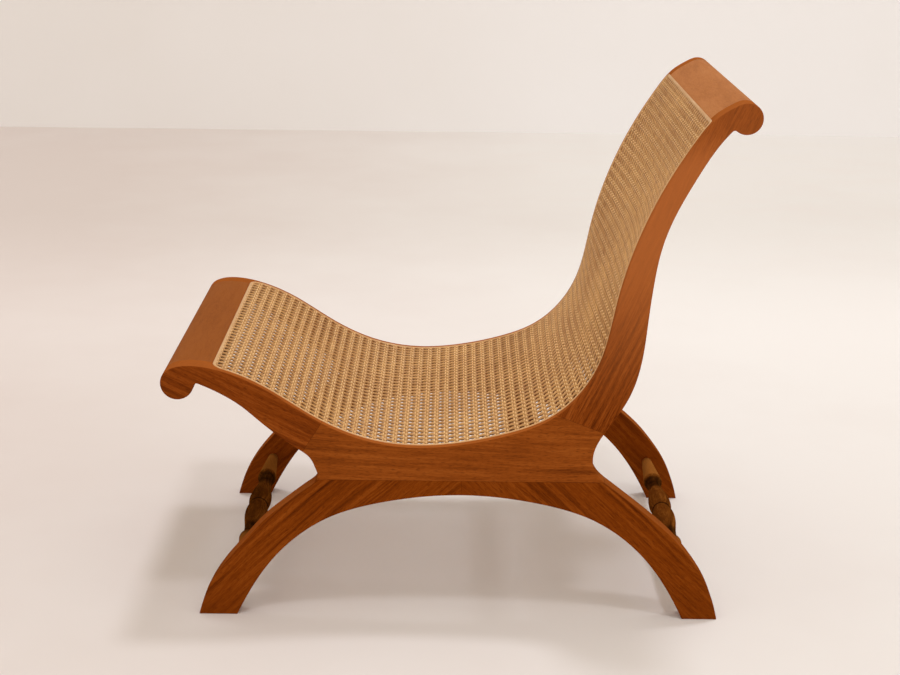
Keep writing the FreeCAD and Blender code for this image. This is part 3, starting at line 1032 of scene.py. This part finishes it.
@dataclass
class CaneSheet:
    """The woven sheet of seat and back, in six sets of strands."""

    half_width: float = 0.2597
    start: float = 0.0664
    stop: float = 1.1128
    cells_along: int = 67
    cells_across: int = 33
    strand_width: float = 0.0031
    slanting_width: float = 0.0027
    strand_thickness: float = 0.0021
    pair_gap: float = 0.0005
    wave: float = 0.00050
    diagonal_wave: float = 0.00090
    depth: float = 0.00125
    sway: float = 0.0006
    corner_radii: Flat = (0.0160, 0.0055)
    section: tuple[Flat, ...] = ((1.0, -0.5), (0.8, 0.3), (0.0, 0.55), (-0.8, 0.3),
                                 (-1.0, -0.5))
    easing: Flat = (0.26, 0.45)
    slanting_heights: tuple[Flat, ...] = ((0.0, 1.0), (0.3, 0.86), (0.5, 0.0),
                                          (0.7, -0.86), (1.0, -1.0))

    @property
    def pitch(self) -> Flat:
        """The cell's size along the seat line and across the chair."""
        return ((self.stop - self.start) / self.cells_along,
                2 * self.half_width / self.cells_across)

    @property
    def pair_offset(self) -> float:
        """How far each strand of a pair stands from the pair's middle."""
        return (self.strand_width + self.pair_gap) / 2

    def finish(self, way: StrandWay) -> CaneFinish:
        """The finish of one way of strands; the crosswise ones are painted palest, a painted
        highlight on their raised crests.

        Args:
            way: How the strands run.

        Returns:
            The finish.
        """
        name = "cane_" + way.name.lower()
        # Painted highlight: the crosswise strands are paler for the light on their raised crests.
        if way is StrandWay.CROSSWISE:
            return CaneFinish(name, way.value, (255, 216, 152), (216, 166, 106), (140, 90, 42))
        return CaneFinish(name, way.value, (230, 180, 112), (164, 112, 60), (112, 68, 28))

    def strips(self, name: str, runs: list[list[Place]], width: float) -> Piece:
        """Makes flat strips with a flat underside and a crowned top along straight runs.

        Args:
            name: The object's name.
            runs: For each strip, its middle line from end to end.
            width: The strips' width.

        Returns:
            An object with the strips and their side attribute.
        """
        swept = []
        for run in runs:
            begin, end = Vector(run[0]), Vector(run[-1])
            way = Vector((end.x - begin.x, end.y - begin.y, 0.0)).normalized()
            out = Vector((-way.y, way.x, 0.0)) * (width / 2)
            swept.append([[
                tuple(Vector(row) + out * side + Vector((0.0, 0.0, rise * self.strand_thickness)))
                for side, rise in self.section] for row in run])
        return new_strips(name, swept, [side for side, _ in self.section])

    def straight_run(self, kind: StrandSet) -> list[list[Place]]:
        """One period of a lengthwise or crosswise strand, from one crossing to the next.

        Args:
            kind: The set of strands.

        Returns:
            A single run.
        """
        lengthwise = kind.way is StrandWay.LENGTHWISE
        pitch = self.pitch[0] if lengthwise else self.pitch[1]
        aside = -self.pair_offset if kind.first_of_pair else self.pair_offset
        lift = self.wave if kind.first_of_pair == lengthwise else -self.wave
        near = self.pair_offset / pitch
        between, low = self.easing
        shares = (0.0, near, between, 0.5, 1.0 - between, 1.0 - near, 1.0)
        heights = (0.0, -lift, -low * lift, 0.0, low * lift, lift, 0.0)
        run = []
        for share, height in zip(shares, heights):
            flat = (share * pitch, aside) if lengthwise else (aside, share * pitch)
            run.append((*flat, height - self.depth))
        return [run]

    def slanting_runs(self, kind: StrandSet) -> list[list[Place]]:
        """The two half runs of a slanting strand in one cell.

        Args:
            kind: The set of strands.

        Returns:
            Both runs, each from a lengthwise pair to a crosswise pair.
        """
        u, v = self.pitch
        rising = kind.way is StrandWay.RISING
        over = self.diagonal_wave if rising else -self.diagonal_wave
        sides = (1.0, 0.0) if rising else (0.0, 1.0)
        runs = []
        for edge, side in zip((0.0, 1.0), sides):
            begin, end = (0.5, edge), (side, 0.5)
            runs.append([((begin[0] + (end[0] - begin[0]) * share) * u,
                          (begin[1] + (end[1] - begin[1]) * share) * v,
                          over * height - self.depth)
                         for share, height in self.slanting_heights])
        return runs

    def trim_corners(self, piece: Piece) -> None:
        """Cuts off what lies outside the rounded corners of the groove.

        Args:
            piece: A set of strands on the seat line.
        """
        mesh = piece.data
        flat = np.zeros(len(mesh.vertices) * 3, np.float32)
        mesh.attributes[WEAVE_PLACE].data.foreach_get("vector", flat)
        flat = flat.reshape(-1, 3)
        gone = np.zeros(len(flat), bool)
        for at, radius, sign in ((self.start, self.corner_radii[0], 1.0),
                                 (self.stop, self.corner_radii[1], -1.0)):
            out_along = np.maximum((at + sign * radius - flat[:, 0]) * sign, 0.0)
            out_across = np.maximum(np.abs(flat[:, 1]) - (self.half_width - radius), 0.0)
            gone |= np.hypot(out_along, out_across) > radius + self.strand_width
        work = bmesh.new()
        work.from_mesh(mesh)
        work.verts.ensure_lookup_table()
        outside = [work.verts[i] for i in np.nonzero(gone)[0]]
        bmesh.ops.delete(work, geom=outside, context="VERTS")
        work.to_mesh(mesh)
        work.free()

    def build(self, tree: Tree, curve: Piece, effects: Effects) -> list[Piece]:
        """Weaves the sheet.

        Args:
            tree: The tree that repeats a unit and lays it on the seat line.
            curve: The seat line.
            effects: The shared shader groups.

        Returns:
            The six sets of strands.
        """
        sets = (
            StrandSet("cane_lengthwise_first", StrandWay.LENGTHWISE),
            StrandSet("cane_lengthwise_second", StrandWay.LENGTHWISE, first_of_pair=False),
            StrandSet("cane_crosswise_first", StrandWay.CROSSWISE),
            StrandSet("cane_crosswise_second", StrandWay.CROSSWISE, first_of_pair=False),
            StrandSet("cane_slanting_rising", StrandWay.RISING),
            StrandSet("cane_slanting_falling", StrandWay.FALLING),
        )
        finishes = {way: self.finish(way).material(effects) for way in StrandWay}
        pieces = []
        for kind in sets:
            runs = self.straight_run(kind) if kind.straight else self.slanting_runs(kind)
            first = [self.start, -self.half_width]
            if kind.straight and kind.first_of_pair:
                # The first strand of the pair on the edge would lie outside the sheet.
                axis = 1 if kind.way is StrandWay.LENGTHWISE else 0
                first[axis] += self.pitch[axis]
            width = self.strand_width if kind.straight else self.slanting_width
            piece = settle(self.strips(kind.name, runs, width), tree, {
                "Seat Line": curve, "Count Along": self.cells_along,
                "Count Across": self.cells_across, "Pitch Along": self.pitch[0],
                "Pitch Across": self.pitch[1], "First Along": first[0],
                "First Across": first[1], "Sway": self.sway, "Lift": 1.0,
                "Half Width": self.half_width, "Finish": finishes[kind.way],
            })
            self.trim_corners(piece)
            close_and_smooth(piece)
            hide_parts("cane_panel")
            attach(piece, BODY)
            pieces.append(piece)
        return pieces


# --- The reeds round the cane ---


@dataclass
class ReedRing:
    """Four lengths of reed pressed into the groove round the cane."""

    start: float = 0.0661
    stop: float = 1.1131
    half_width: float = 0.2600
    front_radius: float = 0.0155
    head_radius: float = 0.0045
    reed_width: float = 0.0049
    crown: float = 0.0011
    shoulder: float = -0.0004
    foot: float = -0.0052
    foot_share: float = 0.8
    step: float = 0.006
    crown_steps: int = 6
    corner_steps: int = 8
    side_at_edge: float = 0.6

    def section(self) -> list[Flat]:
        """The reed's section as offsets across it and heights, all the way round."""
        half = self.reed_width / 2
        rows = []
        for i in range(self.crown_steps + 1):
            angle = math.pi * i / self.crown_steps
            rows.append((half * math.cos(angle),
                         self.shoulder + (self.crown - self.shoulder) * math.sin(angle)))
        return rows + [(-half * self.foot_share, self.foot), (half * self.foot_share, self.foot)]

    def side_path(self, side: float) -> list[Flat]:
        """The middle line of a side length, flat."""
        begin, end = self.start + self.front_radius, self.stop - self.head_radius
        count = int((end - begin) / self.step)
        return [(begin + (end - begin) * i / count, side * self.half_width)
                for i in range(count + 1)]

    def end_path(self, at: float, inward: float, radius: float) -> list[Flat]:
        """The middle line of a front or head length with its rounded corners, flat.

        Args:
            at: Where the length lies along the seat line.
            inward: The way to the sheet's middle, 1 or -1.
            radius: The corners' radius.

        Returns:
            Points from the left corner to the right one.
        """
        inner = self.half_width - radius
        corner = []
        for i in range(self.corner_steps + 1):
            angle = math.radians(90.0 * i / self.corner_steps)
            corner.append((at + inward * radius * (1 - math.sin(angle)),
                           -inner - radius * math.cos(angle)))
        count = int(2 * inner / self.step)
        straight = [(at, -inner + 2 * inner * i / count) for i in range(1, count)]
        return corner + straight + [(x, -y) for x, y in corner[::-1]]

    def sweep(self, name: str, path: list[Flat]) -> Piece:
        """Sweeps the section along a flat path.

        Args:
            name: The piece's name.
            path: Points of the middle line.

        Returns:
            The flat reed.
        """
        rows = np.array(path)
        ways = np.gradient(rows, axis=0)
        ways /= np.linalg.norm(ways, axis=1)[:, None]
        section = self.section()
        swept = [[(x - dy * offset, y + dx * offset, height) for offset, height in section]
                 for (x, y), (dx, dy) in zip(rows, ways)]
        sides = [offset / self.reed_width * 2 * self.side_at_edge for offset, _ in section]
        return new_strips(name, [swept], sides)

    def build(self, tree: Tree, curve: Piece, effects: Effects) -> list[Piece]:
        """Makes the four reeds.

        Args:
            tree: The tree that repeats a unit and lays it on the seat line.
            curve: The seat line.
            effects: The shared shader groups.

        Returns:
            The reeds.
        """
        tones = {"pale": (228, 184, 128), "warm": (200, 150, 94), "edge": (150, 98, 50)}
        lengthwise = CaneFinish("reed_lengthwise", 0.0, **tones).material(effects)
        crosswise = CaneFinish("reed_crosswise", 90.0, **tones).material(effects)
        plans = (
            ("left_reed", self.side_path(-1.0), lengthwise),
            ("right_reed", self.side_path(1.0), lengthwise),
            ("front_reed", self.end_path(self.start, 1.0, self.front_radius), crosswise),
            ("head_reed", self.end_path(self.stop, -1.0, self.head_radius), crosswise),
        )
        pieces = []
        for node, path, finish in plans:
            piece = settle(self.sweep(node + "_crowned", path), tree,
                           {"Seat Line": curve, "Finish": finish})
            close_and_smooth(piece)
            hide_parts(node)
            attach(piece, BODY)
            pieces.append(piece)
        return pieces


# --- The wooden pieces ---


def dress(node: str, material: bpy.types.Material) -> None:
    """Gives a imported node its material.

    Args:
        node: The node's name.
        material: Its finish.
    """
    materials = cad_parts[node].data.materials
    materials.clear()
    materials.append(material)
    log.info("%s: %s", node, material.name)


@dataclass
class SideFrame:
    """One side frame: five boards, each with its grain along itself, and their tenons."""

    side: str
    seed: float
    seat_rail_slope: float = -27.0
    middle_rail_slope: float = -2.0
    back_post_slope: float = 66.0
    leg_slope: float = 43.0
    leg_joint_height: float = 0.223
    arch_middle: float = 0.01359
    seat_joint: tuple[Place, Place] = ((-0.2104, 0.0, 0.2925), (0.8468, 0.0, -0.5320))
    post_joint: tuple[Place, Place] = ((0.1899, 0.0, 0.3160), (0.3579, 0.0, 0.9338))

    def finishes(self) -> dict[str, WoodFinish]:
        """The finish of each board by the end of its node's name.

        Returns:
            One finish for each board.
        """
        seat = Seam(*self.seat_joint)
        post = Seam(*self.post_joint)
        leg = Seam((0.0, 0.0, self.leg_joint_height), (0.0, 0.0, 1.0))
        arch = Seam((self.arch_middle, 0.0, 0.0), (1.0, 0.0, 0.0))
        plans = {
            "seat_rail": (self.seat_rail_slope, (0.0, 0.21, 0.4), (seat,), dict(
                dark=(74, 29, 7), middle=(128, 60, 16), light=(160, 85, 31),
                band_strength=0.32, streak_strength=0.46, flow=0.04)),
            "middle_rail": (self.middle_rail_slope, (0.37, 0.11, 0.9), (seat, post, leg), dict(
                dark=(78, 33, 9), middle=(138, 69, 21), light=(165, 90, 34),
                band_width=0.009, band_strength=0.26, streak_strength=0.46)),
            "back_post": (self.back_post_slope, (0.71, 0.33, 0.13), (post,), dict(
                dark=(66, 24, 4), middle=(128, 60, 15), light=(158, 84, 31),
                band_width=0.006, band_strength=0.24, streak_strength=0.6, flow=0.02,
                fading=0.66)),
            "front_leg": (self.leg_slope, (1.13, 0.41, 0.57), (leg, arch), dict(
                band_width=0.008, band_strength=0.36, streak_strength=0.42, flow=0.035)),
            "rear_leg": (-self.leg_slope, (1.57, 0.52, 0.31), (leg, arch), dict(
                band_width=0.009, band_strength=0.3)),
        }
        return {
            board: WoodFinish(f"{self.side}_{board}_wood", (0.0, slope, 0.0),
                              (self.seed + along, through, across), seams=seams, **looks)
            for board, (slope, (along, through, across), seams, looks) in plans.items()}

    def dress(self, effects: Effects) -> None:
        """Dresses the boards and their tenons.

        Args:
            effects: The shared shader groups.
        """
        for board, finish in self.finishes().items():
            dress(f"{self.side}_{board}", finish.material(effects))
        plain = WoodFinish(f"{self.side}_tenon_wood", (0.0, 0.0, 0.0), (self.seed, 0.0, 0.0),
                           roughness=0.6).material(effects)
        for tenon in ("seat_rail_tenon", "back_post_tenon", "front_leg_tenons",
                      "rear_leg_tenons"):
            dress(f"{self.side}_{tenon}", plain)


@dataclass
class CrossPieces:
    """What joins the two side frames: apron, head rail, brace, stretchers and dowels."""

    turn: Place = (0.0, 0.0, -90.0)
    apron_inside: tuple[Place, Place] = ((-0.3585, 0.0, 0.3942), (0.9966, 0.0, -0.0820))

    def dress(self, effects: Effects) -> None:
        """Dresses every piece that runs across the chair.

        Args:
            effects: The shared shader groups.
        """
        dowel = WoodFinish("dowel_wood", self.turn, (0.1, 0.2, 0.6), roughness=0.6)
        finishes = {
            # The apron's light colours are partly painted sheen of its top face.
            "front_apron": WoodFinish(
                "front_apron_wood", self.turn, (0.2, 0.7, 0.35), dark=(122, 64, 20),
                middle=(150, 84, 32), light=(162, 96, 42), band_width=0.02, band_strength=0.2,
                streak_strength=0.25, pores=0.1, oil=0.14, painted_top_light=0.0,
                painted_shade_side=PaintedShadeSide(*self.apron_inside)),
            # The head rail's light colours are a painted highlight on its top face.
            "head_rail": WoodFinish(
                "head_rail_wood", self.turn, (0.9, 0.3, 0.75), dark=(156, 92, 44),
                middle=(188, 120, 66), light=(204, 138, 82), band_width=0.018,
                streak_strength=0.3, pores=0.1, oil=0.2, painted_top_light=0.0),
            "seat_brace": WoodFinish("seat_brace_wood", self.turn, (0.5, 0.9, 0.15),
                                     roughness=0.58),
            "front_apron_dowels": dowel,
            "head_rail_dowels": dowel,
            "front_stretcher": TurnedFinish("front_stretcher_wood", self.turn, (0.3, 0.1, 0.2)),
            "rear_stretcher": TurnedFinish(
                "rear_stretcher_wood", self.turn, (0.8, 0.4, 0.5), dark=(62, 30, 7),
                middle=(112, 62, 19), light=(168, 108, 48)),
        }
        for node, finish in finishes.items():
            dress(node, finish.material(effects))


# --- The studio ---


@dataclass
class Studio:
    """Floor, wall, lamps and camera of the picture."""

    camera_place: Place = (-0.0062, -2.7274, 1.1528)
    pitch: float = 16.0
    roll: float = 0.0117
    lens: float = 69.26
    sensor_width: float = 36.0
    wall_distance: float = 4.37
    floor_size: float = 26.0
    wall_height: float = 9.0
    sky: Colour = (244, 233, 217)
    sky_strength: float = 0.83
    lamp_spread: float = 8.5
    lamp_colour: Colour = (1.0, 1.0, 1.06)
    near_lamp: Place = (-0.153, 0.354, -1.0)
    far_lamp: Place = (-0.153, -0.26, -1.0)
    near_strength: float = 0.36
    far_strength: float = 0.57
    fill_strength: float = 16.0
    fill_colour: Colour = (1.0, 0.985, 0.965)
    fill_size: Flat = (3.2, 2.0)
    fill_place: Place = (0.3, -3.6, 1.5)
    fill_target: Place = (0.0, 0.0, 0.35)

    def camera(self) -> None:
        """Sets the camera where the photograph was taken."""
        data = bpy.data.cameras.new("camera")
        data.lens = self.lens
        data.sensor_width = self.sensor_width
        camera = link_to_scene(bpy.data.objects.new("camera", data))
        camera.matrix_world = (Matrix.Translation(self.camera_place)
                               @ Matrix.Rotation(math.radians(90.0 - self.pitch), 4, "X")
                               @ Matrix.Rotation(self.roll, 4, "Z"))
        bpy.context.scene.camera = camera

    def plane(self, name: str, corners: list[Place], finish: PlasterFinish) -> None:
        """Adds a flat part of the studio.

        Args:
            name: The object's name.
            corners: Its corners in order.
            finish: Its finish.
        """
        plane = new_piece(name, corners, [[0, 1, 2, 3]])
        plane.data.materials.append(finish.material())

    def room(self) -> None:
        """Adds the floor and the wall behind the chair."""
        half, wall, top = self.floor_size / 2, self.wall_distance, self.wall_height
        # Both finishes carry painted shade towards -X and a painted glow for the camera.
        floor_finish = PlasterFinish("floor_plaster", (240, 238, 237), (222, 212, 208),
                                     painted_glow=0.17, painted_glow_from=-1.6, painted_glow_to=3.2)
        wall_finish = PlasterFinish("wall_plaster", (233, 231, 232), (225, 221, 219),
                                    painted_glow=0.28, painted_glow_from=0.0, painted_glow_to=1.0)
        self.plane("floor", [(-half, -half, 0.0), (half, -half, 0.0), (half, wall, 0.0),
                             (-half, wall, 0.0)], floor_finish)
        self.plane("wall", [(-half, wall, 0.0), (half, wall, 0.0), (half, wall, top),
                            (-half, wall, top)], wall_finish)

    def hang(self, data: bpy.types.Light, way: Vector, place: Place = (0.0, 0.0, 0.0)) -> None:
        """Puts a lamp at a place.

        Args:
            data: The lamp.
            way: The way its light travels.
            place: Where it hangs.
        """
        lamp = link_to_scene(bpy.data.objects.new(data.name, data))
        lamp.location = place
        lamp.rotation_euler = way.to_track_quat("-Z", "Y").to_euler()

    def sun(self, name: str, way: Place, strength: float) -> None:
        """Adds a broad, distant lamp.

        Args:
            name: The lamp's name.
            way: The way its light travels.
            strength: How bright it is.
        """
        data = bpy.data.lights.new(name, "SUN")
        data.energy = strength
        data.angle = math.radians(self.lamp_spread)
        data.color = self.lamp_colour
        self.hang(data, Vector(way))

    def fill(self) -> None:
        """Adds a large soft panel beside the camera that lights the near side frame."""
        data = bpy.data.lights.new("fill_panel", "AREA")
        data.shape = "RECTANGLE"
        data.size, data.size_y = self.fill_size
        data.energy = self.fill_strength
        data.color = self.fill_colour
        self.hang(data, Vector(self.fill_target) - Vector(self.fill_place), self.fill_place)

    def world(self) -> None:
        """Lights the room evenly and shows a pale ground past the floor and the wall."""
        world = bpy.data.worlds.new("studio_air")
        world.use_nodes = True
        bench = Bench(world.node_tree)
        seen = bench.add("ShaderNodeLightPath").outputs["Is Camera Ray"]
        strength = bench.plus(seen, 1.0 - self.sky_strength, self.sky_strength)
        bench.feed(world.node_tree.nodes["Background"],
                   {"Color": linear(self.sky), "Strength": strength})
        bpy.context.scene.world = world

    def build(self) -> None:
        """Sets up the whole studio."""
        bpy.context.scene.view_settings.view_transform = "Standard"
        self.camera()
        self.room()
        self.sun("near_lamp", self.near_lamp, self.near_strength)
        self.sun("far_lamp", self.far_lamp, self.far_strength)
        self.fill()
        self.world()


def report(pieces: list[Piece]) -> None:
    """Logs each piece with its count of faces."""
    for piece in pieces:
        log.info("%s: %d faces", piece.name, len(piece.data.polygons))


def main() -> None:
    """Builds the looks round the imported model."""
    logging.basicConfig(level=logging.INFO, format="%(message)s")
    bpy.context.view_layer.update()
    effects = Effects()
    Studio().build()
    for side, seed in (("left", 0.0), ("right", 2.3)):
        SideFrame(side, seed).dress(effects)
    CrossPieces().dress(effects)
    line = SeatLine()
    log.info("seat line: %.4f m", line.measure())
    curve = line.curve()
    repeats = build_repeat_tree(build_laid_on_line())
    report(CaneSheet().build(repeats, curve, effects))
    report(ReedRing().build(repeats, curve, effects))
    bpy.data.objects.remove(curve)


if __name__ == "__main__":
    main()
